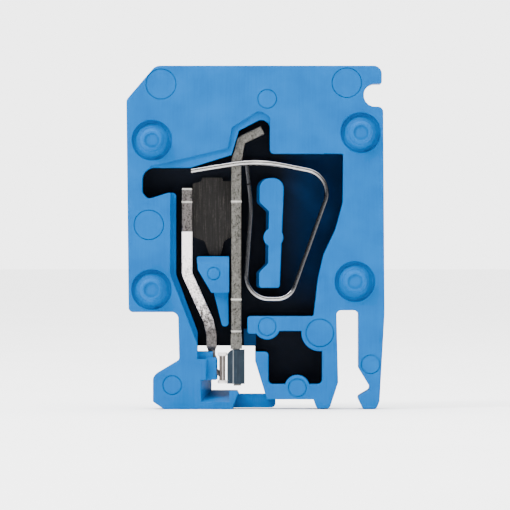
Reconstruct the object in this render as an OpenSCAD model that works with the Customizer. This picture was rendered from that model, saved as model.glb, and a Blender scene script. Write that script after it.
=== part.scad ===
// Plug-in terminal module with a tension clamp, which snaps into a rail-mounted base.
// X runs along the module, Z goes up to the wire entry, and Y goes across the thickness.
// The origin is in the middle of the foot's underside, and the open side faces -Y.
// Outlines are lists of [x, z, corner radius] in millimetres.

/* [Moulding] */
// Thickness of the module, which is its pitch on the rail
module_t = 5.1; // [5.0:0.1:6.2]
// Thickness of the closed side wall
wall_t = 0.8; // [0.6:0.1:0.9]
// Depth of the ledges round the spring chamber, below the open face
ledge_d = 1.6; // [0.8:0.1:2.2]
// Depth of the ejector pin marks
mark_d = 0.1; // [0.05:0.05:0.2]

/* [Entries] */
// Radius of the wire entry
entry_r = 1.6; // [1.3:0.05:1.65]
// Radius of the test plug hole
test_r = 1.2; // [1.0:0.05:1.2]
// Width of the slot for the screwdriver blade
slot_w = 1.6; // [1.2:0.1:1.8]

/* [Coupling] */
// Radius of each coupling stud on the open face
stud_r = 1.3; // [1.1:0.05:1.35]
// How far a stud stands out of the open face
stud_l = 1.4; // [1.0:0.1:1.5]
// Radial play of a stud in a socket of the next module
stud_play = 0.05; // [0.05:0.01:0.1]
// Radius of the sunk ring round a stud's foot
ring_r = 2.2; // [2.2:0.05:2.4]

/* [Clamp] */
// Thickness of the spring strip
strip_t = 0.5; // [0.4:0.05:0.55]
// Width of the spring strip
strip_w = 3.1; // [2.9:0.1:3.1]
// Width of each rail beside the window in the spring's top band
rail_w = 0.45; // [0.4:0.05:0.5]
// Length of the window in the spring's top band
window_l = 6.15; // [5.6:0.05:6.3]

/* [Contact] */
// Thickness of the copper web behind the wire
web_t = 0.8; // [0.6:0.1:0.8]
// Width of the current bar where it goes through the spring's window
bar_w = 1.9; // [1.6:0.1:1.9]
// Sheet thickness of the over-spring
clip_t = 0.3; // [0.2:0.05:0.35]

/* [Latch] */
// Radius of the latch leg's rounded root
root_r = 1.45; // [1.4:0.05:1.45]
// Gap round the root, which stands for the bend of the moulding
root_gap = 0.08; // [0.07:0.01:0.12]

/* [Hidden] */
$fn = 48;
eps = 0.1;

y_front = -module_t / 2;
y_back = module_t / 2;
y_floor = y_back - wall_t;
y_ledge = y_front + ledge_d;

// the spring and the bar share one centre plane, through the middle of the window
y_strip = -2.25;
y_window = y_strip + rail_w;
window_w = strip_w - 2 * rail_w;
y_bar = y_window + (window_w - bar_w) / 2;
y_contact = -1.65;

entry_at = [-4.8, -0.5];
test_at = [0.1, -0.5];
// both holes are wider below these heights, where they open into the chamber
entry_z = 29.6;
test_z = 33;
mouth_play = 0.2;
top_z = 38.2;
root_at = [12.95, 10.6];
fork_top_z = 9.25;
clip_z = [2.8, 6.65];
fork_y = [-1.2, 0.8];
clip_y = [-1.6, 0.85];
ring_d = 0.45;

couplings = [[-11.45, 29.9], [11.75, 30.75], [-11.5, 13.3], [11.1, 14.2]];
marks = [[-10.45, 36.15, 1.68], [10.2, 36.3, 1.65], [-11.8, 20.5, 1.65], [7.2, 8.5, 1.55],
         [1.35, 34.5, 1.05], [-9.2, 2.7, 1.05], [1.35, 9.2, 1.0], [4.7, 2.4, 1.0]];
latch_mark = [12.85, 5.0, 1.05];

body_outline = [[-14.3, 34.4, 0.8], [-11.06, top_z, 1.2], [14.1, top_z, 0.9], [14.1, 36.2, 0.2],
    [12.1, 36.2, 1.2], [12.1, 33.65, 1.2], [14.25, 33.65, 0.6], [14.4, 25, 0], [14.4, 11, 0],
    [9.05, 11, 0.5], [9.25, 3, 0.3], [8.3, 0.1, 0.4], [6.85, 0.1, 0.3], [6.5, 1.1, 0],
    [2.3, 1.1, 0], [2.3, 0.15, 0.5], [-2.35, 0.15, 0], [-2.5, 0, 0], [-10.1, 0, 0.2],
    [-11.35, 0.85, 0.2], [-11.35, 3.73, 0.9], [-8.42, 5.49, 0.5], [-8.55, 10.8, 0.7],
    [-14.05, 10.8, 0.5]];
chamber_outline = [[-12.5, 26.85, 1.3], [-7.2, 26.85, 0.5], [-2.62, 28.28, 0.2], [-1.78, 31, 0.3],
    [1.65, 32.75, 0.9], [1.65, 28.4, 0.45], [9.8, 28.4, 0.2], [9.75, 23, 3],
    [8.9, 19.9, 4], [7.6, 17.2, 4], [7, 14.6, 4], [6.5, 10.35, 0.2], [-0.85, 10.35, 0.3],
    [-0.85, 8.4, 0.3], [0, 8.4, 0], [0, 7, 0], [-6.4, 7, 0], [-6.4, 8.6, 0.6],
    [-8.8, 15, 1.2], [-8.8, 24.1, 0.4], [-9.7, 24.05, 0.4], [-11.9, 23.35, 0.6],
    [-12.5, 24.1, 0.5]];
upper_ledge = [[-12, 26, 0], [-11.6, 27.02, 0.3], [-2.95, 29, 0.3], [-2.55, 31.3, 0.3],
    [0.45, 33.2, 0.6], [1.65, 32.5, 0.4], [1.65, 28, 0], [-2, 26, 0]];
left_ledge = [[-9.4, 24.5, 0], [-9.4, 15, 1.2], [-6.4, 7.3, 0], [-6.4, 7, 0], [-5, 7, 0],
    [-8, 15, 0], [-8, 24.5, 0]];
fork_window = [[-6.4, 7, 0], [-6.4, 6.4, 0], [-4.6, 6.4, 0], [-4.2, 5.5, 0],
    [-4.2, 3.25, 0], [-4.85, 3.25, 0], [-4.85, 2.05, 0], [-1.95, 2.05, 0], [-1.75, 1.65, 0],
    [1.15, 1.65, 0], [0, 5.4, 0.4], [0, 7, 0]];
base_recess = [[0, 6.4, 0], [0, 8.4, 0], [2.9, 8.7, 0.2], [7.45, 8.7, 0],
    [7.45, 2.8, 0.5], [1.5, 2.8, 0.5], [1.5, 6.4, 0.4]];
strip_front = [[-2.55, -eps, 0], [-1.9, 1.65, 0], [1.15, 1.65, 0], [1.32, 1.1, 0],
    [2.4, 1.1, 0], [2.4, -eps, 0]];
post_outline = [[0.5, 25.7, 1.15], [3.25, 25.7, 1.15], [2.75, 13.5, 0.3], [0.45, 13.5, 0.3],
    [0.45, 15.2, 0.4], [1.45, 16.2, 0.3], [1.55, 22, 0.3], [0.5, 23, 0.4]];
stop_outline = [[-6.5, 17, 0.2], [-2.9, 17, 0.1], [-2.9, 12.95, 0.1], [-4.85, 12.95, 0.1],
    [-6.35, 15.5, 0.4]];
stop_rib = [[-4.7, 13.4, 0], [-3, 13.4, 0], [-2.95, 9.2, 0.35], [-3.65, 9.2, 0.35]];
latch_outline = [[11.5, 10.6, 0], [11.5, 4.6, 0.6], [12.9, 2.3, 0.4], [11.35, 1.4, 0.35],
    [12, 0.05, 0.2], [13.5, 0.05, 0.4], [13.85, 0.9, 0.3], [14.4, 10.6, 0]];

bar_outline = [[-2.65, 8.4, 0], [-2.65, 27.7, 0.6], [-1.75, 30.6, 0.4], [0.62, 31.6, 0.15],
    [1.05, 30.5, 0.15], [-1.42, 29.25, 0.3], [-1.5, 27.6, 0.3], [-1.5, 8.4, 0]];
bar_foot = [[-2.65, 6.7, 0], [-2.65, 8.4, 0], [-1.35, 8.4, 0.1], [-1.35, 6.7, 0]];
bar_fork = [[-2.65, 6.7, 0], [-1.55, 6.7, 0], [-1.5, 2.55, 0.15], [-2.4, 2.55, 0.15]];
bar_narrow_z = 25.6;
leg_outline = [[-8.15, 24.6, 0.12], [-7, 24.6, 0.12], [-7, 15.1, 1], [-4.6, 9.9, 0.8],
    [-4.38, 9.3, 0], [-5.5, 9.3, 0], [-5.75, 9.85, 0.8], [-8.15, 15, 1]];
arm_outline = [[-5.5, 9.2, 0], [-4.38, 9.2, 0], [-4.25, 8.4, 0.5], [-4.25, 6.9, 0],
    [-5.45, 6.9, 0], [-5.45, 8.6, 0.5]];
arm_fork = [[-5.05, 6.95, 0], [-4.25, 6.95, 0], [-4.25, 4.7, 0.3], [-3.4, 4, 0.3],
    [-3.45, 3, 0.15], [-3.95, 3, 0.15], [-4.05, 3.75, 0.3], [-5.05, 4.45, 0.3]];
web_outline = [[-7, 19.2, 0], [-7, 25.1, 0.2], [-6, 25.4, 0.2], [-5.9, 25.8, 0.1],
    [-3.7, 25.8, 0.1], [-3.55, 25.4, 0.1], [-2.65, 25.4, 0], [-2.65, 19.2, 0],
    [-3.45, 18.7, 0.3], [-3.85, 17.15, 0.2], [-5.1, 17.15, 0.2], [-5.65, 18.7, 0.3]];
clip_face = [[-3.1, 2.8, 0], [-3.1, 6.15, 0.1], [-2.65, 6.6, 0.1], [-1.15, 6.65, 0],
    [-1.15, 2.8, 0]];
jaw_neck = [[-3.85, 2.85, 0], [-3.85, 6.3, 0], [-3.35, 6.3, 0], [-3.35, 2.85, 0]];

// the spring's centre line, on each side of its bottom bend
bend_x = 1.7;
bend_gap = 0.08;
loop_path = [[bend_x, 12.25, 0], [3.93, 12.25, 2.1], [8.85, 26, 2.6], [0.3, 27.71, 16.5],
    [-7.1, 26.5, 0]];
fixed_path = [[bend_x - bend_gap, 12.25, 0], [-1.15, 12.25, 2.55], [-0.4, 22.7, 15],
    [-0.93, 27.2, 0]];
window_x = -2.95;
fixed_narrow_z = 25;

function xz(p) = [p.x, p.y];
function unit(v) = v / norm(v);
// points of the round at corner p between its neighbours a and b
function corner(a, p, b, r, n) = r == 0 ? [p] :
    let (u = unit(a - p), v = unit(b - p), half = acos(u * v) / 2,
         c = p + unit(u + v) * r / sin(half), s = p + u * r / tan(half) - c,
         e = p + v * r / tan(half) - c)
    [for (i = [0 : n]) c + r * unit(s * (1 - i / n) + e * i / n)];
// a closed outline with its corners rounded
function rounded(pts, n = 5) = [for (i = [0 : len(pts) - 1])
    each corner(xz(pts[(i + len(pts) - 1) % len(pts)]), xz(pts[i]), xz(pts[(i + 1) % len(pts)]),
                pts[i].z, n)];
// an open path with its inner corners rounded
function path(pts, n = 12) = [xz(pts[0]), for (i = [1 : len(pts) - 2])
    each corner(xz(pts[i - 1]), xz(pts[i]), xz(pts[i + 1]), pts[i].z, n), xz(pts[len(pts) - 1])];
function side(line, i, d) =
    let (t = unit(line[min(i + 1, len(line) - 1)] - line[max(i - 1, 0)]))
    line[i] + d * [-t.y, t.x];
// the outline of a bent strip of thickness t that follows a line
function ribbon(line, t) = [for (i = [0 : len(line) - 1]) side(line, i, t / 2),
    for (i = [len(line) - 1 : -1 : 0]) side(line, i, -t / 2)];

// a flat piece with its children's outline in X and Z, from y0 to y1
module plate(y0, y1) {
    translate([0, y1, 0]) rotate([90, 0, 0]) linear_extrude(y1 - y0) children();
}

module across(x, y, z, r, l) {
    translate([x, y + l, z]) rotate([90, 0, 0]) cylinder(r = r, h = l);
}

// the hole on the closed side that takes a stud of the next module
module coupling_socket(at) {
    lead = 0.2;
    socket_r = stud_r + stud_play;
    across(at.x, y_back - stud_l - lead, at.y, socket_r, stud_l + 2 * lead);
    translate([at.x, y_back - lead, at.y]) rotate([-90, 0, 0])
        cylinder(r1 = socket_r, r2 = socket_r + 2 * lead, h = 2 * lead);
}

// a round stud on a cone-shaped foot, which stands in its own sunk ring
module coupling_stud(at) {
    foot_r = 1.9;
    nose = 0.3;
    translate([at.x, y_front + ring_d, at.y]) rotate([90, 0, 0]) rotate_extrude()
        polygon([[0, -eps], [foot_r, -eps], [foot_r, 0], [stud_r + 0.05, ring_d],
                 [stud_r, ring_d], [stud_r, ring_d + stud_l - nose],
                 [stud_r - nose, ring_d + stud_l], [0, ring_d + stud_l]]);
}

module mark(m) {
    across(m.x, y_front - 1, m.y, m.z, 1 + mark_d);
}

// the round lead-in and straight hole that the wire goes down
module wire_entry() {
    lead_l = 1.2;
    translate([entry_at.x, entry_at.y, 24])
        cylinder(r1 = entry_r + mouth_play, r2 = entry_r, h = entry_z - 24);
    translate([entry_at.x, entry_at.y, entry_z]) cylinder(r = entry_r, h = top_z);
    translate([entry_at.x, entry_at.y, top_z - lead_l])
        cylinder(r1 = entry_r, r2 = entry_r + 0.25, h = lead_l + 0.01);
}

module test_hole() {
    translate([test_at.x, test_at.y, 30])
        cylinder(r1 = test_r + mouth_play, r2 = test_r, h = test_z - 30);
    translate([test_at.x, test_at.y, test_z]) cylinder(r = test_r, h = top_z);
}

module blade_slot() {
    right = 9.3;
    left = right - slot_w;
    flare = 0.8;
    plate(-2, 1.4) polygon([[left, 28], [right, 28], [right, top_z - 2],
        [right + flare, top_z + eps], [left - flare, top_z + eps], [left, top_z - 2]]);
}

// the funnel that guides the base's contact up into the fork
module fork_funnel() {
    intersection() {
        translate([0, 0, 0.75]) linear_extrude(2.5)
            polygon([[-6.05, y_front - eps], [-4.85, 1.2], [-1.9, 1.2], [-2.9, y_front - eps]]);
        translate([-7, 0, 0]) rotate([90, 0, 90]) linear_extrude(6)
            polygon([[y_front - eps, 0.75], [1.2, 2.05], [1.2, 3.25], [y_front - eps, 3.25]]);
    }
}

module chamber() {
    plate(y_front - eps, y_floor) polygon(rounded(chamber_outline));
    plate(y_front - eps, y_front + 0.3) polygon(rounded(upper_ledge));
    plate(y_front - eps, y_ledge) polygon(rounded(left_ledge));
    difference() {
        plate(y_front - eps, y_floor) polygon(rounded(base_recess));
        across(1.35, y_front - 1, 9.2, 1.45, module_t);
        across(7.2, y_front - 1, 8.5, 2.05, module_t);
        across(4.7, y_front - 1, 2.4, 1.4, module_t);
    }
}

module fork_opening() {
    plate(y_front - eps, y_back + eps) polygon(rounded(fork_window));
    plate(y_front - eps, 1.1) polygon([[-6.4, 7], [-6.4, 5.6], [-3, 5.6], [-3, 7]]);
    plate(y_front - eps, 0.95) polygon([[-5.4, 5.6], [-5.4, 3.25], [-3, 3.25], [-3, 5.6]]);
    fork_funnel();
    plate(y_front - eps, -0.6) polygon(rounded(strip_front));
}

// the wall in front of the fork arm, and the seat beside the current bar's foot
module fork_cover() {
    cover_y = -1.3;
    plate(-1.9, cover_y) polygon([[-5.7, 3.25], [-4.3, 3.25], [-4.3, 5.75], [-5.7, 5.75]]);
    plate(-1.7, cover_y) polygon([[-6.6, 5.5], [-4.7, 5.5], [-4.7, 6.4], [-6.6, 6.4]]);
    plate(0.4, y_floor + eps)
        polygon([[-1.25, 7], [0.1, 7], [0.1, 8.5], [-0.7, 8.5], [-0.7, 8.9], [-1.25, 8.9]]);
}

module spring_post() {
    plate(y_front + 0.15, y_floor + eps) {
        polygon(rounded(post_outline));
        translate([2.05, 19.1]) circle(r = 1.1);
    }
    plate(0, y_floor + eps) translate([-0.3, 0]) polygon(rounded(post_outline));
}

module wire_stop() {
    face_y = -1.9;
    difference() {
        plate(face_y, y_floor + eps) polygon(rounded(stop_outline));
        translate([-8, 0, 0]) rotate([90, 0, 90]) linear_extrude(7)
            polygon([[face_y - eps, 16.05], [face_y + 1, 17.1], [face_y - eps, 17.1]]);
        across(-4.6, face_y - 1, 15.1, 0.7, 1 + mark_d);
    }
    plate(-0.9, y_floor + eps) polygon(rounded(stop_rib));
}

module housing() {
    color([0.28, 0.6, 0.82]) {
        difference() {
            plate(y_front, y_back) polygon(rounded(body_outline));
            chamber();
            fork_opening();
            wire_entry();
            test_hole();
            blade_slot();
            across(root_at.x, y_front - 1, root_at.y, root_r + root_gap, module_t + 2);
            for (at = couplings) {
                coupling_socket(at);
                across(at.x, y_front - 1, at.y, ring_r, 1 + ring_d);
            }
            for (m = marks) mark(m);
        }
        spring_post();
        wire_stop();
        fork_cover();
        for (at = couplings) coupling_stud(at);
    }
}

module latch_arm() {
    color([0.3, 0.62, 0.84]) difference() {
        union() {
            plate(y_front, y_back) polygon(rounded(latch_outline));
            across(root_at.x, y_front, root_at.y, root_r, module_t);
        }
        mark(latch_mark);
    }
}

module current_bar() {
    color([0.6, 0.58, 0.54]) {
        intersection() {
            plate(y_bar, y_bar + bar_w) polygon(rounded(bar_outline));
            translate([-5, -5, bar_narrow_z - 0.01]) cube([10, 10, 10]);
        }
        intersection() {
            plate(y_contact, y_floor) polygon(rounded(bar_outline));
            translate([-5, -5, 8.4]) cube([10, 10, bar_narrow_z - 8.4]);
        }
        plate(y_contact, y_floor) polygon(rounded(bar_foot));
        plate(fork_y[0], fork_y[1]) polygon(rounded(bar_fork));
    }
}

module contact_web() {
    color([0.27, 0.25, 0.23]) plate(y_floor - web_t, y_floor) polygon(rounded(web_outline));
}

module contact_leg() {
    color([0.66, 0.63, 0.61]) plate(y_contact, y_floor) polygon(rounded(leg_outline));
}

module fork_arm() {
    color([0.55, 0.52, 0.5]) {
        plate(y_contact, fork_y[1]) polygon(rounded(arm_outline));
        plate(fork_y[0], fork_y[1]) polygon(rounded(arm_fork));
    }
}

module over_spring_clip() {
    color([0.24, 0.32, 0.38]) {
        plate(clip_y[0], clip_y[0] + clip_t) polygon(rounded(clip_face));
        translate([-1.15 - clip_t, clip_y[0], clip_z[0]])
            cube([clip_t, clip_y[1] - clip_y[0], clip_z[1] - clip_z[0] - 0.1]);
    }
}

module over_spring_jaw() {
    color([0.5, 0.48, 0.46]) {
        plate(clip_y[0], clip_y[0] + clip_t) polygon(rounded(jaw_neck));
        for (z = [2.85, 5.95])
            translate([-4.15, clip_y[0], z]) cube([1, clip_t, 0.35]);
    }
}

module spring_strip(line) {
    plate(y_strip, y_strip + strip_w) polygon(ribbon(path(line), strip_t));
}

module spring_fixed_leg() {
    color([0.4, 0.4, 0.4]) difference() {
        spring_strip(fixed_path);
        for (y = [y_strip - eps, y_bar + bar_w])
            translate([-3, y, fixed_narrow_z]) cube([4, y_bar - y_strip + eps + 0.6, 6]);
    }
}

module spring_loop() {
    color([0.5, 0.48, 0.47]) difference() {
        spring_strip(loop_path);
        translate([window_x, y_window, 26]) cube([window_l, window_w, 3]);
    }
}

housing();
latch_arm();
current_bar();
contact_web();
contact_leg();
fork_arm();
over_spring_clip();
over_spring_jaw();
spring_fixed_leg();
spring_loop();
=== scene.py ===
"""A plug-in terminal module with a tension clamp: one blue moulding that holds a bent copper contact,
a looped clamp spring and the steel over-spring round the contact's fork. Metres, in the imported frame."""

import math

import bmesh
import bpy
import numpy as np
from mathutils.geometry import delaunay_2d_cdt
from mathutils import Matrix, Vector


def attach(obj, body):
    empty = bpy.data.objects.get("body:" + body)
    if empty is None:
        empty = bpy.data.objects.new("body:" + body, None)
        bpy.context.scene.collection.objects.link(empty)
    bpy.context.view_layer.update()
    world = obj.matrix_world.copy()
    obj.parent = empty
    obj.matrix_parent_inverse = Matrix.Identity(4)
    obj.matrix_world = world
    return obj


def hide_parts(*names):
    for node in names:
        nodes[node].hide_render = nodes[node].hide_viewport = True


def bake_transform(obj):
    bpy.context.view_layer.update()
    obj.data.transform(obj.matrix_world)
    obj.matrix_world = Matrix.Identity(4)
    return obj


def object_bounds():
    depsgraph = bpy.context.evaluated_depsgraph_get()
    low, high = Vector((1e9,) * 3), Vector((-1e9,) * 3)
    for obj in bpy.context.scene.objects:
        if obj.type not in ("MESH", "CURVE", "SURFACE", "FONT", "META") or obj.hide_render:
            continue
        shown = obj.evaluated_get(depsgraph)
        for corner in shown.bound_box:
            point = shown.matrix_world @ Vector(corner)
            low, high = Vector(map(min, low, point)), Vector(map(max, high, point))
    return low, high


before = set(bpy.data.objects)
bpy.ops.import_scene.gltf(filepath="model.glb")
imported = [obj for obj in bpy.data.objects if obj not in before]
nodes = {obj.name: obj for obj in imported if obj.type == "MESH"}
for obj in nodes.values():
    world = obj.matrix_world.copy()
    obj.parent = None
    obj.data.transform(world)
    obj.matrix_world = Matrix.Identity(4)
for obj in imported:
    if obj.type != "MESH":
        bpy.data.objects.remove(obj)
cad_low, cad_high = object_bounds()
MM = 0.001

# ---------------------------------------------------------------- studio
# A pale floor under an even white surround, seen square on through a long lens. A wide soft light
# hangs above, a harder one stands high on the left and a weak one on the right, and the floor throws
# light back from below.
VIEW_WIDTH = 56.67 * MM
CAMERA_AWAY = 0.62
CAMERA_HEIGHT = 17.15 * MM
OPEN_SIDE = 2.5 * MM
SENSOR = 36.0
LIT_PLACE = (0, 0, 0.02)


def area_light(name, place, size, power):
    """A square soft light at place, turned so that it shines at the middle of the object."""
    data = bpy.data.lights.new(name, "AREA")
    data.shape = "SQUARE"
    data.size = size
    data.energy = power
    lamp = bpy.data.objects.new(name, data)
    bpy.context.scene.collection.objects.link(lamp)
    lamp.location = place
    way = np.array(LIT_PLACE, float) - np.array(place, float)
    lamp.rotation_euler = (math.acos(-way[2] / np.linalg.norm(way)), 0, math.atan2(-way[0], way[1]))


camera_data = bpy.data.cameras.new("camera")
camera_data.sensor_width = SENSOR
camera_data.lens = SENSOR * (CAMERA_AWAY - OPEN_SIDE) / VIEW_WIDTH
camera_data.clip_start = 0.01
camera = bpy.data.objects.new("camera", camera_data)
bpy.context.scene.collection.objects.link(camera)
camera.location = (0.0, -CAMERA_AWAY, CAMERA_HEIGHT)
camera.rotation_euler = (math.pi / 2, 0.0, 0.0)
bpy.context.scene.camera = camera

area_light("top_light", (-0.05, -0.08, 0.6), 0.4, 3.0)
area_light("left_light", (-0.5, -0.4, 0.5), 0.16, 7.0)
area_light("right_light", (0.55, -0.7, 0.25), 0.3, 1.0)
SEEN_STRENGTH = 4.2
LIGHT_STRENGTH = 7.6


def surround():
    """White to look at. Its light on the object is strongest from above and behind and dim at eye
    level, so the floor comes out near white and the metal's flat sides reflect grey."""
    world = bpy.data.worlds.new("surround")
    bpy.context.scene.world = world
    world.use_nodes = True
    tree = world.node_tree
    tree.nodes.clear()
    out = tree.nodes.new("ShaderNodeOutputWorld")
    seen = tree.nodes.new("ShaderNodeBackground")
    seen.inputs["Color"].default_value = (1.0, 1.0, 1.0, 1.0)
    seen.inputs["Strength"].default_value = SEEN_STRENGTH
    way = tree.nodes.new("ShaderNodeTexCoord")
    split = tree.nodes.new("ShaderNodeSeparateXYZ")
    tree.links.new(way.outputs["Generated"], split.inputs[0])
    light = tree.nodes.new("ShaderNodeBackground")
    light.inputs["Strength"].default_value = LIGHT_STRENGTH
    shade = tree.nodes.new("ShaderNodeMix")
    shade.data_type = "RGBA"
    shade.blend_type = "MULTIPLY"
    shade.inputs[0].default_value = 1.0
    height, depth = 2, 1
    for axis, slot, shift, stops in ((height, 6, 0.0, ((0.0, 0.018), (0.35, 0.07), (1.0, 1.0))),
                                     (depth, 7, 0.95, ((0.0, 0.4), (0.4, 1.0), (1.0, 1.0)))):
        sky = tree.nodes.new("ShaderNodeValToRGB")
        sky.color_ramp.elements.new(0.5)
        for element, (place, grey) in zip(sky.color_ramp.elements, stops):
            element.position = place
            element.color = (grey, grey, grey, 1.0)
        reach = tree.nodes.new("ShaderNodeMath")
        reach.operation = "ADD"
        reach.inputs[1].default_value = shift
        tree.links.new(split.outputs[axis], reach.inputs[0])
        tree.links.new(reach.outputs[0], sky.inputs[0])
        tree.links.new(sky.outputs[0], shade.inputs[slot])
    tree.links.new(shade.outputs[2], light.inputs["Color"])
    path = tree.nodes.new("ShaderNodeLightPath")
    mix = tree.nodes.new("ShaderNodeMixShader")
    tree.links.new(path.outputs["Is Camera Ray"], mix.inputs[0])
    tree.links.new(light.outputs[0], mix.inputs[1])
    tree.links.new(seen.outputs[0], mix.inputs[2])
    tree.links.new(mix.outputs[0], out.inputs["Surface"])


surround()


class Wire:
    """A shader socket that takes part in arithmetic: each operator adds the Math node it stands for."""

    def __init__(self, finish, socket):
        self.finish = finish
        self.socket = socket

    def math(self, operation, first, second):
        return self.finish.node("ShaderNodeMath", {"operation": operation}, {0: first, 1: second})

    def __add__(self, other):
        return self.math("ADD", self, other)

    def __sub__(self, other):
        return self.math("SUBTRACT", self, other)

    def __rsub__(self, other):
        return self.math("SUBTRACT", other, self)

    def __mul__(self, other):
        return self.math("MULTIPLY", self, other)

    def clip(self):
        """Held between 0 and 1."""
        return self.math("MINIMUM", self.math("MAXIMUM", self, 0.0), 1.0)

    __radd__ = __add__
    __rmul__ = __mul__


class Finish:
    """One material: a Principled shader, and the nodes that feed it."""

    def __init__(self, name, roughness=0.5, metallic=0.0):
        self.material = bpy.data.materials.new(name)
        self.material.use_nodes = True
        self.tree = self.material.node_tree
        self.tree.nodes.clear()
        self.shader = self.tree.nodes.new("ShaderNodeBsdfPrincipled")
        end = self.tree.nodes.new("ShaderNodeOutputMaterial")
        self.tree.links.new(self.shader.outputs[0], end.inputs["Surface"])
        self.shader.inputs["Roughness"].default_value = roughness
        self.shader.inputs["Metallic"].default_value = metallic

    def node(self, kind, settings=None, values=None, output=0):
        """Adds a node: its settings first, then the numbers or wires of its sockets."""
        made = self.tree.nodes.new(kind)
        for key, value in (settings or {}).items():
            if key == "stops":
                ramp = made.color_ramp.elements
                while len(ramp) < len(value):
                    ramp.new(0.5)
                for element, (place, colour) in zip(ramp, value):
                    element.position = place
                    element.color = (*colour, 1.0)
            else:
                setattr(made, key, value)
        for key, value in (values or {}).items():
            self.put(made.inputs[key], value)
        return Wire(self, made.outputs[output])

    def put(self, socket, value):
        """Links a wire to a socket, or sets a number or a colour on it."""
        if isinstance(value, Wire):
            self.tree.links.new(value.socket, socket)
        elif isinstance(value, tuple) and len(value) == 3 and socket.type == "RGBA":
            socket.default_value = (*value, 1.0)
        else:
            socket.default_value = value

    def set(self, **values):
        """Feeds the shader: each socket's name is written with _ for a space."""
        for key, value in values.items():
            self.put(self.shader.inputs[key.replace("_", " ")], value)

    def place(self, stretch=(1.0, 1.0, 1.0)):
        """The piece's own coordinates in millimetres, stretched along each axis."""
        own = self.node("ShaderNodeTexCoord", output="Object")
        scale = tuple(k / MM for k in stretch)
        return self.node("ShaderNodeMapping", {}, {"Vector": own, "Scale": scale})

    def noise(self, scale, detail=3.0, roughness=0.5, stretch=(1.0, 1.0, 1.0)):
        """Noise whose features are about 1 / scale millimetres across."""
        return self.node("ShaderNodeTexNoise", {}, {"Vector": self.place(stretch), "Scale": scale,
                                                    "Detail": detail, "Roughness": roughness})

    def along(self, axis):
        """Where a point lies along X (0), Y (1) or Z (2), in millimetres."""
        return self.node("ShaderNodeSeparateXYZ", {}, {0: self.place()}, axis)

    def attribute(self, name):
        return self.node("ShaderNodeAttribute", {"attribute_name": name}, output=2)

    def ramp(self, value, *stops):
        return self.node("ShaderNodeValToRGB", {"stops": stops}, {0: value})

    def mix(self, factor, first, second):
        return self.node("ShaderNodeMix", {"data_type": "RGBA"}, {0: factor, 6: first, 7: second}, 2)

    def bump(self, height, strength, distance):
        return self.node("ShaderNodeBump", {}, {"Height": height, "Strength": strength,
                                                "Distance": distance})


def floor_finish():
    """Matt white paper, faintly cloudy."""
    finish = Finish("floor_paper", roughness=0.9)
    finish.set(Base_Color=finish.ramp(finish.noise(0.02), (0.3, (0.9, 0.9, 0.9)),
                                      (0.7, (0.93, 0.93, 0.93))))
    return finish.material


FLOOR_HALF = 6.0
floor_mesh = bpy.data.meshes.new("floor")
floor_mesh.from_pydata([(x * FLOOR_HALF, y * FLOOR_HALF, 0) for x, y in ((-1, -1), (1, -1), (1, 1), (-1, 1))],
                       [], [(0, 1, 2, 3)])
floor = bpy.data.objects.new("floor", floor_mesh)
bpy.context.scene.collection.objects.link(floor)
floor_mesh.materials.append(floor_finish())


# ---------------------------------------------------------------- blue moulding
# Housing and latch leg come out of one mould in blue polyamide, with the spring post and the wire
# stop standing on the closed wall. Every edge of a moulding is slightly round, and its face has the
# prints of the ejector pins.
EDGE = 0.11
FRONT = cad_low[1] / MM
FACE_Y = -2.55
POST_Y = FACE_Y + 0.15
FLOOR_Y = 1.75
STOP_Y = -1.9
TOP_Z = 37.9
ROOT = (12.95, 10.6)
ROOT_R = 1.56
LEG_X = 10.0
SEAM_Z = 10.8
MERGE = 0.002
# the middle of each coupling stud's end is sunk a little
STUDS = ((-11.45, 29.9), (11.75, 30.75), (-11.5, 13.3), (11.1, 14.2))
CROWN_R = 0.8
CROWN_D = 0.16
# the ejector prints, each (x, z, radius): the last is on the wire stop
EJECTORS = ((-10.45, 36.15, 1.68), (10.2, 36.3, 1.65), (-11.8, 20.5, 1.65), (7.2, 8.5, 1.55),
            (1.35, 34.5, 1.05), (-9.2, 2.7, 1.05), (1.35, 9.2, 1.0), (4.7, 2.4, 1.0),
            (12.85, 5.0, 1.05), (-4.6, 15.1, 0.7))


def new_object(name, mesh):
    made = bpy.data.objects.new(name, mesh)
    bpy.context.scene.collection.objects.link(made)
    return made


def merged_copy(name):
    """A CAD node's mesh in millimetres, with its loose triangles joined."""
    mesh = nodes[name].data.copy()
    shell = bmesh.new()
    shell.from_mesh(mesh)
    bmesh.ops.scale(shell, vec=(1 / MM,) * 3, verts=shell.verts)
    bmesh.ops.remove_doubles(shell, verts=shell.verts, dist=0.75 * MERGE)
    shell.to_mesh(mesh)
    shell.free()
    return new_object(name + "_copy", mesh)


def prism(name, outline, low, high):
    """A closed prism over an outline of (x, z) points that runs anticlockwise, from low to high in Y:
    each side joins two neighbours of the near ring to the same two of the far ring."""
    count = len(outline)
    ring = np.array(outline, float)
    near = np.column_stack([ring[:, 0], np.full(count, low), ring[:, 1]])
    far = near + (0, high - low, 0)
    index = np.arange(count)
    sides = np.column_stack([index, np.roll(index, -1), np.roll(index, -1) + count, index + count])
    faces = [tuple(index), tuple(index[::-1] + count)] + [tuple(s[::-1]) for s in sides]
    mesh = bpy.data.meshes.new(name)
    mesh.from_pydata(np.vstack([near, far]).tolist(), [], faces)
    return new_object(name, mesh)


def joined(base, tools, operation="UNION"):
    """The mesh of base after each tool is added to it or cut from it."""
    for tool in tools:
        step = base.modifiers.new("step", "BOOLEAN")
        step.operation = operation
        step.solver = "EXACT"
        step.object = tool
    bpy.context.view_layer.update()
    view = bpy.context.evaluated_depsgraph_get()
    mesh = bpy.data.meshes.new_from_object(base.evaluated_get(view))
    for used in [base, *tools]:
        bpy.data.objects.remove(used)
    return mesh


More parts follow.
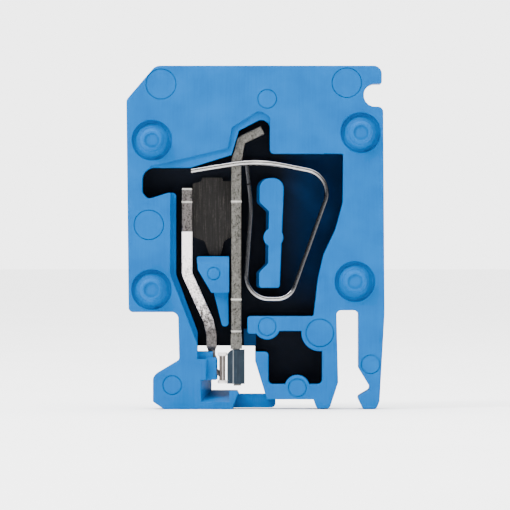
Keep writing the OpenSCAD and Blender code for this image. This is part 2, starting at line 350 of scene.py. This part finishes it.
def root_web():
    """Fills the gap round the latch leg's root: a disc cut off at the outer wall, and the hollow round
    in the slot's corner, whose arc is the corner's point minus the radius plus the radius turned."""
    turn = np.radians(np.linspace(35, 325, 41))
    disc = np.column_stack([ROOT[0] + ROOT_R * np.cos(turn), ROOT[1] + ROOT_R * np.sin(turn)])
    disc[:, 0] = np.maximum(disc[:, 0], 11.5)
    disc = np.vstack([disc, (14.39, 10.44), (14.4, 11.088)])
    radius = 0.8
    corner = np.array((11.6, 11.05))
    arc = np.linspace(math.pi / 2, 0, 9)
    hollow = np.column_stack([corner[0] - radius + radius * np.cos(arc),
                              corner[1] - radius + radius * np.sin(arc)])
    fillet = np.vstack([hollow, (12.2, corner[1] - radius), (12.2, 11.6), (corner[0] - radius, 11.6)])
    return [prism("root_disc", disc, FACE_Y, -FACE_Y), prism("root_fillet", fillet, FACE_Y, -FACE_Y)]


def discs(name, rounds, low, high):
    """One disc for each (x, z, radius, shift in Y), all in one mesh."""
    turn = np.linspace(0, 2 * math.pi, 40, endpoint=False)
    shell = bmesh.new()
    for x, z, r, shift in rounds:
        ring = np.column_stack([x + r * np.cos(turn), z + r * np.sin(turn)])
        part = prism("disc", ring, low + shift, high + shift)
        shell.from_mesh(part.data)
        bpy.data.objects.remove(part)
    mesh = bpy.data.meshes.new(name)
    shell.to_mesh(mesh)
    shell.free()
    return new_object(name, mesh)


def prints(grow):
    """The ejector prints, grown by the same amount. The last is on the wire stop, which lies lower."""
    last = EJECTORS[-1]
    return [(x, z, r + grow, STOP_Y - FACE_Y if (x, z, r) == last else 0) for x, z, r in EJECTORS]


def on_a_print(x, z):
    """Whether a point of the face lies on the rim of an ejector print."""
    return any(abs(math.hypot(x - a, z - b) - r) < 0.2 for a, b, r in EJECTORS)


def soften(shell):
    """Rounds the long edges where a wall meets the open face, the closed face or the post's face."""
    bmesh.ops.dissolve_limit(shell, angle_limit=math.radians(1.0), verts=shell.verts, edges=shell.edges)
    chosen = []
    for edge in shell.edges:
        if len(edge.link_faces) != 2 or edge.calc_face_angle(0) < math.radians(40):
            continue
        ends = [v.co for v in edge.verts]
        level = all(abs(abs(c.y) + FACE_Y) < 0.01 or abs(c.y - POST_Y) < 0.01 for c in ends)
        flat = abs(ends[0].y - ends[1].y) < 0.005
        if level and flat and not on_a_print(ends[0].x, ends[0].z):
            chosen.append(edge)
    bmesh.ops.bevel(shell, geom=chosen, offset=EDGE, offset_type="OFFSET", segments=3, profile=0.5,
                    affect="EDGES", clamp_overlap=False)


def turn_out(face, way):
    """Turns a face's normal to the side that way points to."""
    face.normal_update()
    if face.normal.dot(way) < 0:
        face.normal_flip()


def refill(shell, level):
    """Meshes one flat side afresh: a triangulation bound by its rims, of which a triangle stays when a
    ray from its middle crosses the rims an odd number of times."""
    flat = {f for f in shell.faces
            if abs(f.normal.y) > 0.9 and all(abs(v.co.y - level) < 0.003 for v in f.verts)}
    rim = [e for e in {e for f in flat for e in f.edges} if sum(f in flat for f in e.link_faces) == 1]
    bmesh.ops.delete(shell, geom=list(flat), context="FACES_ONLY")
    corners = list({v for e in rim for v in e.verts})
    number = {v: i for i, v in enumerate(corners)}
    bounds = [tuple(number[v] for v in e.verts) for e in rim]
    places, _, triangles, origin = delaunay_2d_cdt([(v.co.x, v.co.z) for v in corners], bounds,
                                                   [], 0, 1e-6)[:4]
    ends = np.array([[(v.co.x, v.co.z) for v in e.verts] for e in rim])
    places = np.array(places)
    made = [corners[o[0]] if o else shell.verts.new((p[0], level, p[1])) for p, o in zip(places, origin)]
    for triangle in triangles:
        x, z = places[list(triangle)].mean(axis=0)
        (x0, z0), (x1, z1) = ends[:, 0].T, ends[:, 1].T
        spans = (z0 > z) != (z1 > z)
        rise = np.where(spans, z1 - z0, 1.0)
        crossed = spans & (x0 + (z - z0) * (x1 - x0) / rise > x)
        chosen = [made[i] for i in triangle]
        if crossed.sum() % 2 and len(set(chosen)) == 3 and not shell.faces.get(chosen):
            turn_out(shell.faces.new(chosen), (0, level, 0))


def broad_faces(mesh):
    """Which triangles are flat wall: the ones whose plane holds more than the facet of a round. Width is
    the area in a plane over the longest side of a triangle in it."""
    count = len(mesh.polygons)
    normal, area, corner = np.empty(count * 3), np.empty(count), np.empty(count * 3, np.int32)
    mesh.polygons.foreach_get("normal", normal)
    mesh.polygons.foreach_get("area", area)
    mesh.polygons.foreach_get("vertices", corner)
    place = np.empty(len(mesh.vertices) * 3)
    mesh.vertices.foreach_get("co", place)
    normal = normal.reshape(-1, 3)
    ring = place.reshape(-1, 3)[corner.reshape(-1, 3)]
    longest = np.linalg.norm(ring - np.roll(ring, 1, axis=1), axis=2).max(axis=1)
    offset = (normal * ring[:, 0]).sum(axis=1) / MM
    plane = np.unique(np.column_stack([normal, offset]).round(2), axis=0, return_inverse=True)[1].ravel()
    reach = np.zeros(plane.max() + 1)
    np.maximum.at(reach, plane, longest)
    return (np.bincount(plane, area) / reach)[plane] > 0.6 * MM


def moulding():
    """Housing and latch leg as one shell with soft edges, then cut across the leg's root."""
    mesh = joined(merged_copy("housing"), [merged_copy("latch_arm"), *root_web()])
    rims = discs("rims", prints(0.03), FACE_Y - 0.3, FACE_Y + 0.17)
    crowns = discs("crowns", [(x, z, CROWN_R, 0) for x, z in STUDS], FRONT - 0.3, FRONT + CROWN_D)
    mesh = joined(new_object("crowned", mesh), [crowns], "DIFFERENCE")
    mesh = joined(new_object("grooved", mesh), [rims], "DIFFERENCE")
    mesh = joined(new_object("filled", mesh), [discs("faces", prints(-0.05), FACE_Y + 0.04, FACE_Y + 0.4)])
    shell = bmesh.new()
    shell.from_mesh(mesh)
    bmesh.ops.remove_doubles(shell, verts=shell.verts, dist=MERGE)
    soften(shell)
    for level in (FACE_Y, -FACE_Y):
        refill(shell, level)
    bmesh.ops.triangulate(shell, faces=shell.faces)
    everything = [*shell.verts, *shell.edges, *shell.faces]
    bmesh.ops.bisect_plane(shell, geom=everything, plane_co=(0, 0, SEAM_Z), plane_no=(0, 0, 1))
    shell.faces.index_update()
    leg = {f.index for f in shell.faces
           if f.calc_center_median().z < SEAM_Z and min(v.co.x for v in f.verts) > LEG_X}
    parts = []
    for name, mine in (("housing_shell", False), ("latch_leg", True)):
        half = shell.copy()
        drop = [f for f in half.faces if (f.index in leg) != mine]
        bmesh.ops.delete(half, geom=drop, context="FACES")
        rim = [e for e in half.edges if e.is_boundary and all(abs(v.co.z - SEAM_Z) < 1e-4 for v in e.verts)]
        for face in bmesh.ops.holes_fill(half, edges=rim)["faces"]:
            turn_out(face, (0, 0, 1 if mine else -1))
        bmesh.ops.triangulate(half, faces=half.faces)
        bmesh.ops.scale(half, vec=(MM,) * 3, verts=half.verts)
        part = bpy.data.meshes.new(name)
        half.to_mesh(part)
        half.free()
        part.shade_smooth()
        part.set_sharp_from_angle(angle=math.radians(35))
        part.polygons.foreach_set("use_smooth", ~broad_faces(part))
        parts.append(new_object(name, part))
    shell.free()
    return parts


def shade_depth(piece):
    """Stores how deep each vertex lies in the chamber: 0 at the open face and at the top, 1 on the
    chamber's floor. The same number sets how much painted shade darkens the chamber."""
    place = np.empty(len(piece.data.vertices) * 3)
    piece.data.vertices.foreach_get("co", place)
    x, y, z = place.reshape(-1, 3).T / MM
    shade_y = -0.7
    painted_shade = np.clip((y - shade_y) / (FLOOR_Y - shade_y), 0, 1)
    painted_shade[(y > FLOOR_Y + 0.05) | (z > TOP_Z)] = 0
    # painted light: the chamber's lower left keeps only about a third of its painted shade
    painted_shade[(x < 0) & (z < 6.8)] *= 0.35
    piece.data.attributes.new("depth", "FLOAT", "POINT").data.foreach_set("value", painted_shade)


def blue_polyamide():
    """Satin blue, faintly cloudy and drawn out along the flow of the plastic. The chamber's deep parts get
    painted shade, near black, and a lighter painted shade, dark blue, towards its upper right, where more
    light comes in."""
    finish = Finish("blue_polyamide")
    depth = finish.attribute("depth")
    cloud = finish.noise(0.35, 2.0)
    speck = finish.noise(6.0, 3.0)
    drag = finish.noise(1.6, 3.0, 0.6, stretch=(3.0, 1.0, 0.15))
    face = finish.ramp(cloud + 0.2 * (speck - 0.5) + 0.5 * (drag - 0.5),
                       (0.3, (0.0, 0.070, 0.238)), (0.5, (0.0, 0.078, 0.262)), (0.7, (0.0, 0.086, 0.285)))
    # painted light: lightens the chamber's painted shade towards its upper right
    painted_light_mask = ((finish.along(0) - 2.6) * 0.3).clip() * ((finish.along(2) - 11.0) * 0.22).clip()
    painted_shade = finish.mix(painted_light_mask, (0.005, 0.007, 0.012), (0.001, 0.015, 0.055))
    # painted shade: deep parts of the chamber are mixed towards the near-black painted shade colour
    finish.set(Base_Color=finish.mix((depth * 1.5 - 0.1).clip(), face, painted_shade),
               Roughness=0.36 + 0.16 * speck, IOR=1.15, Specular_IOR_Level=0.2,
               Normal=finish.bump(finish.noise(9.0, 4.0), 0.12, 0.00008))
    return finish.material


blue = blue_polyamide()
housing, latch = moulding()
for piece in (housing, latch):
    shade_depth(piece)
    piece.data.materials.clear()
    piece.data.materials.append(blue)
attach(housing, "module")
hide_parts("housing")
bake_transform(latch)
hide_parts("latch_arm")


# ---------------------------------------------------------------- copper contact
# One strip of tin-plated copper is stamped and folded into a U round the wire: a left leg that ends in
# the fork arm, a web at the back painted near black for the shade it lies in, and the current bar with its
# bent tip. Its cut edges, which face the open side, are rough and speckled, with a raised burr where the tool
# changed and a painted highlight along it.
def bent_strip(name, line, half, near, far, round_r=0.1, around=6, caps=(True, True)):
    """Carries a rounded rectangle along a line of (x, z) points: half is half the thickness across the
    line, near and far are its two edges in Y, each a number or one for each point. A point of the ring
    is the line's point plus the normal, square to the chord between its neighbours, times its place
    across the strip. Each vertex stores how upright the line is."""
    line = np.array(line, float)
    count = len(line)
    half, near, far = (np.broadcast_to(np.asarray(v, float), count) for v in (half, near, far))
    chord = np.gradient(line, axis=0)
    chord /= np.linalg.norm(chord, axis=1)[:, None]
    normal = np.column_stack([-chord[:, 1], chord[:, 0]])
    turn = np.linspace(0, math.pi / 2, around)
    corner = np.column_stack([np.cos(turn), np.sin(turn)])
    quarter = [corner * (1, 1), corner[::-1] * (-1, 1), corner * (-1, -1), corner[::-1] * (1, -1)]
    lean = np.vstack(quarter)
    side = np.repeat([(1, 1), (-1, 1), (-1, -1), (1, -1)], around, axis=0)
    across = side[None, :, 0] * (half[:, None] - round_r) + lean[None, :, 0] * round_r
    middle, reach = (near + far) / 2, (far - near) / 2
    y = middle[:, None] + side[None, :, 1] * (reach[:, None] - round_r) + lean[None, :, 1] * round_r
    x = line[:, None, 0] + normal[:, None, 0] * across
    z = line[:, None, 1] + normal[:, None, 1] * across
    strip = grid_object(name, np.stack([x, y, z], axis=2) * MM, caps)
    upright = np.repeat(np.abs(chord[:, 1]), 4 * around)
    strip.data.attributes.new("upright", "FLOAT", "POINT").data.foreach_set("value", upright)
    return strip


def grid_object(name, grid, caps):
    """Joins a grid of rings (rows) into a closed tube, with a flat cap on each end that asks for one."""
    rows, columns = grid.shape[:2]
    index = np.arange(rows * columns).reshape(rows, columns)
    after = np.roll(index, -1, axis=1)
    quads = np.stack([index[:-1], after[:-1], after[1:], index[1:]], axis=2).reshape(-1, 4)
    faces = [tuple(q) for q in quads.tolist()]
    if caps[0]:
        faces.append(tuple(index[0][::-1].tolist()))
    if caps[1]:
        faces.append(tuple(index[-1].tolist()))
    mesh = bpy.data.meshes.new(name)
    mesh.from_pydata(grid.reshape(-1, 3).tolist(), [], faces)
    shell = bmesh.new()
    shell.from_mesh(mesh)
    bmesh.ops.recalc_face_normals(shell, faces=shell.faces)
    shell.to_mesh(mesh)
    shell.free()
    mesh.shade_smooth()
    mesh.set_sharp_from_angle(angle=math.radians(40))
    return new_object(name, mesh)


def rounded_line(corners, step=0.12):
    """A line of (x, z) points through corners of (x, z, radius), each rounded by an arc that touches
    both sides, and sampled evenly."""
    corners = np.array(corners, float)
    points = [corners[0, :2]]
    for before, here, after in zip(corners[:-2], corners[1:-1], corners[2:]):
        back = before[:2] - here[:2]
        ahead = after[:2] - here[:2]
        back /= np.linalg.norm(back)
        ahead /= np.linalg.norm(ahead)
        half = math.acos(back @ ahead) / 2
        middle = back + ahead
        centre = here[:2] + middle / np.linalg.norm(middle) * here[2] / math.sin(half)
        start = here[:2] + back * here[2] / math.tan(half) - centre
        end = here[:2] + ahead * here[2] / math.tan(half) - centre
        share = np.linspace(0, 1, 25)[:, None]
        arc = start * (1 - share) + end * share
        points.extend(centre + here[2] * arc / np.linalg.norm(arc, axis=1)[:, None])
    points.append(corners[-1, :2])
    points = np.array(points)
    gone = np.concatenate([[0], np.cumsum(np.linalg.norm(np.diff(points, axis=0), axis=1))])
    even = np.linspace(0, gone[-1], max(2, int(gone[-1] / step)))
    return np.column_stack([np.interp(even, gone, points[:, k]) for k in (0, 1)])


def burrs(line, heights, lift=0.05, reach=0.12):
    """Extra half thickness where a raised tool mark crosses the strip at each height."""
    extra = np.zeros(len(line))
    for height in heights:
        extra += lift * np.exp(-((line[:, 1] - height) / reach) ** 2)
    return extra


def tinned_copper(name, light, dark, painted_highlight_heights=(), bright=None):
    """Speckled cut copper under tin: light and dark grains, a painted highlight line at each height given,
    where a burr catches the light, and a near-white painted highlight between two heights if asked, sharp at
    the top and breaking up into specks below."""
    finish = Finish(name, metallic=0.85)
    grain = finish.noise(5.0, 6.0, 0.75)
    crack = finish.noise(2.2, 4.0, 0.65, stretch=(1.6, 1.0, 0.7))
    speck = (grain - 0.5) * 2.2 + (crack - 0.5) * 1.2 + 0.5
    middle = tuple((a + b) / 2 for a, b in zip(light, dark))
    tone = finish.ramp(speck, (0.1, dark), (0.45, middle), (0.9, light))
    height = finish.along(2)
    # painted highlight: a light line across the strip at each given height
    for line in painted_highlight_heights:
        away = (height - line) * (height - line)
        tone = finish.mix((1.0 - away * 60.0).clip() * (0.4 + 0.6 * speck).clip(), tone, (0.62, 0.60, 0.55))
    roughness = 0.36 + 0.3 * grain
    if bright:
        low, high = bright
        # painted highlight: a near-white band between two heights, made rougher
        painted_highlight_band = ((height - low) * (1.6 / (high - low)) + (speck - 0.5) * 1.6).clip()
        painted_highlight_band = painted_highlight_band * ((high - height) * 8.0).clip() * ((height - low) * 0.6).clip()
        shine = finish.ramp(grain, (0.2, (0.82, 0.73, 0.72)), (0.6, (1.0, 0.93, 0.92)))
        tone = finish.mix(painted_highlight_band, tone, shine)
        roughness = roughness + 0.15 * painted_highlight_band
    finish.set(Base_Color=tone, Roughness=roughness, Normal=finish.bump(grain + 0.7 * crack, 0.5, 0.00005))
    return finish.material


# edges in Y: the open side's, the fork's far one, and the far one where a strip passes the window
contact_near = -1.65
fork_far = 0.8
narrow_far = 0.25
leg_line = rounded_line([(-7.57, 24.6, 0), (-7.57, 15.05, 1.2), (-5.18, 9.8, 1.4), (-4.85, 8.3, 1.2),
                         (-4.8, 4.55, 0.4), (-3.72, 3.75, 0.3), (-3.7, 3.0, 0)])
leg_height = leg_line[:, 1]
behind = np.clip((6.95 - leg_height) / 0.4, 0, 1)
thin = np.clip((4.9 - leg_height) / 0.4, 0, 1)
leg_tip = 0.06 * np.exp(-((leg_height - 24.62) / 0.12) ** 2)
leg_half = 0.575 - 0.17 * behind - 0.13 * thin + burrs(leg_line, (23.1,)) - leg_tip
leg_far = np.where(leg_height > 9.3, FLOOR_Y, fork_far)
contact_leg = bent_strip("contact_leg_strip", leg_line, leg_half, contact_near + 0.47 * behind, leg_far)
contact_leg.data.materials.append(tinned_copper("tin_left_leg", (0.14, 0.127, 0.123),
                                                (0.010, 0.009, 0.0085), (23.05, 24.5), (8.6, 19.8)))
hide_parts("contact_leg", "fork_arm")
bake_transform(contact_leg)

bar_line = rounded_line([(-2.08, 6.7, 0), (-2.08, 27.6, 1.2), (-1.52, 29.95, 0.35), (0.83, 31.05, 0)])
wide = bar_line[:, 1] < 25.6
bar_half = 0.565 + burrs(bar_line, (23.1, 12.2, 8.75)) + 0.07 * (bar_line[:, 1] < 8.3)
bar_half = np.where(bar_line[:, 1] > 28.5, 0.5, bar_half)
current_bar = bent_strip("current_bar_strip", bar_line, bar_half, contact_near,
                         np.where(wide, FLOOR_Y, narrow_far))
bar_fork = bent_strip("current_bar_fork", rounded_line([(-2.1, 6.75, 0), (-1.96, 2.6, 0)]), 0.42,
                      -1.2, fork_far)
bar_tin = tinned_copper("tin_current_bar", (0.155, 0.15, 0.135), (0.018, 0.017, 0.015),
                        (23.1, 12.2, 8.65))
for piece in (current_bar, bar_fork):
    piece.data.materials.append(bar_tin)
    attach(piece, "module")
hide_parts("current_bar")


def painted_shade_web():
    """Rolled copper painted near black for the shade it lies in, scratched from top to bottom by the wires
    pushed past it.
    """
    finish = Finish("painted_shade_web", metallic=0.7)
    scratch = finish.noise(2.6, 6.0, 0.75, stretch=(3.0, 1.0, 0.12))
    grain = finish.noise(6.0, 4.0, 0.7)
    # painted shade: the web's tone is kept near black
    tone = finish.ramp(scratch + 0.3 * (grain - 0.5), (0.35, (0.006, 0.0055, 0.005)),
                       (0.55, (0.012, 0.011, 0.0105)), (0.72, (0.045, 0.040, 0.036)))
    finish.set(Base_Color=tone, Roughness=0.4 + 0.25 * grain, Normal=finish.bump(scratch, 0.35, 0.00004))
    return finish.material


nodes["contact_web"].data.materials.clear()
nodes["contact_web"].data.materials.append(painted_shade_web())


# ---------------------------------------------------------------- over-spring
# A bent steel clip sits round the two fork arms and keeps them closed on the base's bar. Its right
# half is a flat blued plate, and its left jaw is a narrow neck between two flanges that moves with
# the fork arm.
def blued_steel():
    """Dark blue-grey with upright streaks, and a painted highlight line along the plate's fold."""
    finish = Finish("blued_steel", metallic=0.75)
    streak = finish.noise(1.5, 4.0, 0.6, stretch=(2.5, 1.0, 0.35))
    tone = finish.ramp(streak, (0.3, (0.008, 0.015, 0.023)), (0.6, (0.013, 0.024, 0.036)),
                       (0.8, (0.03, 0.045, 0.06)))
    from_fold = finish.along(0) + 2.42
    # painted highlight: a light grey line where the plate's fold catches the light
    tone = finish.mix((1.0 - from_fold * from_fold * 150.0).clip() * streak, tone, (0.30, 0.33, 0.35))
    finish.set(Base_Color=tone, Roughness=0.35 + 0.3 * streak, Normal=finish.bump(streak, 0.3, 0.00004))
    return finish.material


def jaw_grid():
    """The jaw as rings stacked in Z: half width narrows from the flanges to the neck by a smooth step,
    and the ring is an oval bulging towards the open side."""
    around = 32
    z = np.linspace(2.85, 6.3, 60)
    edge = np.minimum(z - z[0], z[-1] - z)
    flange = 1 - np.clip((edge - 0.28) / 0.16, 0, 1)
    flange = flange * flange * (3 - 2 * flange)
    half = 0.34 + 0.17 * flange - 0.05 * (edge < 0.02)
    turn = np.linspace(0, 2 * math.pi, around, endpoint=False)
    x = -3.64 + half[:, None] * np.sign(np.cos(turn)) * np.abs(np.cos(turn)) ** 0.7
    y = -1.42 - (0.16 + 0.03 * flange)[:, None] * np.sign(np.sin(turn)) * np.abs(np.sin(turn)) ** 0.9
    return np.stack([x, y, np.repeat(z[:, None], around, axis=1)], axis=2) * MM


def jaw_steel_painted_highlights():
    """The jaw's neck is dull and brown where it bends, with one painted highlight streak down it, and its
    flanges are painted bright as highlights.
    """
    finish = Finish("jaw_steel_painted_highlights", metallic=1.0)
    grain = finish.noise(5.0, 5.0, 0.7, stretch=(2.0, 1.0, 0.5))
    across = finish.along(0) + 3.6
    height = finish.along(2) - 4.58
    neck = (1.0 - (height * height - 1.75) * 3.0).clip()
    streak = (1.0 - across * across * 250.0).clip() * 0.7
    tone = finish.ramp(grain, (0.3, (0.055, 0.047, 0.042)), (0.7, (0.14, 0.12, 0.11)))
    # painted highlight: a bright upright streak down the neck
    tone = finish.mix(streak, tone, (0.6, 0.57, 0.55))
    # painted highlight: outside the neck the flanges are painted near white
    tone = finish.mix(neck, (0.85, 0.80, 0.78), tone)
    finish.set(Base_Color=tone, Roughness=0.3 + 0.2 * grain, Normal=finish.bump(grain, 0.3, 0.00004))
    return finish.material


jaw = grid_object("over_spring_jaw_strip", jaw_grid(), (True, True))
jaw.data.materials.append(jaw_steel_painted_highlights())
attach(jaw, "fork_jaw")
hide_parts("over_spring_jaw")
nodes["over_spring_clip"].data.materials.clear()
nodes["over_spring_clip"].data.materials.append(blued_steel())


# ---------------------------------------------------------------- clamp spring
# One strip of stainless spring steel, 0.5 mm thick, loops round the moulded post. Its top band has a
# window that the current bar and the spring's own fixed end pass through, and its long lip pulls the
# wire against the bar. The strip is rolled, so its long edges are round and bright.
def spring_steel(light, dark):
    """Bright rolled steel: fine lines along the strip break up what it mirrors, and the upright strands
    are painted dark, a painted reflection of the dark chamber."""
    finish = Finish("spring_steel", metallic=1.0)
    line = finish.noise(1.0, 5.0, 0.7, stretch=(0.5, 12.0, 0.5))
    grain = finish.noise(4.0, 4.0, 0.7)
    tone = finish.ramp(line + 0.4 * (grain - 0.5), (0.3, dark), (0.7, light))
    shade = finish.ramp(grain, (0.3, (0.022, 0.023, 0.026)), (0.7, (0.055, 0.056, 0.06)))
    # painted reflection: upright parts of the strip are mixed to a dark grey
    tone = finish.mix((finish.attribute("upright") * 1.7 - 0.62).clip(), tone, shade)
    finish.set(Base_Color=tone, Roughness=0.13 + 0.14 * grain, Normal=finish.bump(line, 0.1, 0.00003))
    return finish.material


STRIP = (-2.25, 0.85)
STRIP_HALF = 0.25
STRIP_ROUND = 0.18
STEP = 0.15
BEND_MIDDLE = (1.7, 12.25)
BEND_SEAM = (4.42, 13.66)
NARROW_Z = 25.0
WINDOW_X = (-2.95, 3.2)
WINDOW_Y = (-1.8, 0.4)
WINDOW_Z = (25.5, 29.5)
leg_path = rounded_line([(-0.93, 27.2, 0), (-0.4, 22.7, 15), (-1.15, 12.25, 2.55), (*BEND_MIDDLE, 0)], STEP)
bend_path = rounded_line([(*BEND_MIDDLE, 0), (3.93, 12.25, 2.1), (*BEND_SEAM, 0)], STEP)
leg_path = np.vstack([leg_path, bend_path[1:]])
narrow = leg_path[:, 1] > NARROW_Z
spring_leg = bent_strip("clamp_spring_leg", leg_path, STRIP_HALF, np.where(narrow, contact_near, STRIP[0]),
                        np.where(narrow, narrow_far, STRIP[1]), STRIP_ROUND, caps=(True, False))
loop_path = rounded_line([(*BEND_SEAM, 0), (8.85, 26, 2.6), (0.3, 27.71, 16.5), (-7.1, 26.5, 0)], STEP)
band = bent_strip("band", loop_path, STRIP_HALF, *STRIP, STRIP_ROUND)
window = np.array([(WINDOW_X[i], WINDOW_Z[j]) for i, j in ((0, 0), (1, 0), (1, 1), (0, 1))])
punch = prism("punch", window * MM, WINDOW_Y[0] * MM, WINDOW_Y[1] * MM)
spring_band = new_object("clamp_spring_loop", joined(band, [punch], "DIFFERENCE"))
spring_band.data.set_sharp_from_angle(angle=math.radians(35))
steel = spring_steel((0.46, 0.445, 0.43), (0.24, 0.232, 0.225))
for piece in (spring_leg, spring_band):
    piece.data.materials.append(steel)
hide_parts("spring_fixed_leg")
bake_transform(spring_leg)
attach(spring_band, "clamp")
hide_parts("spring_loop")
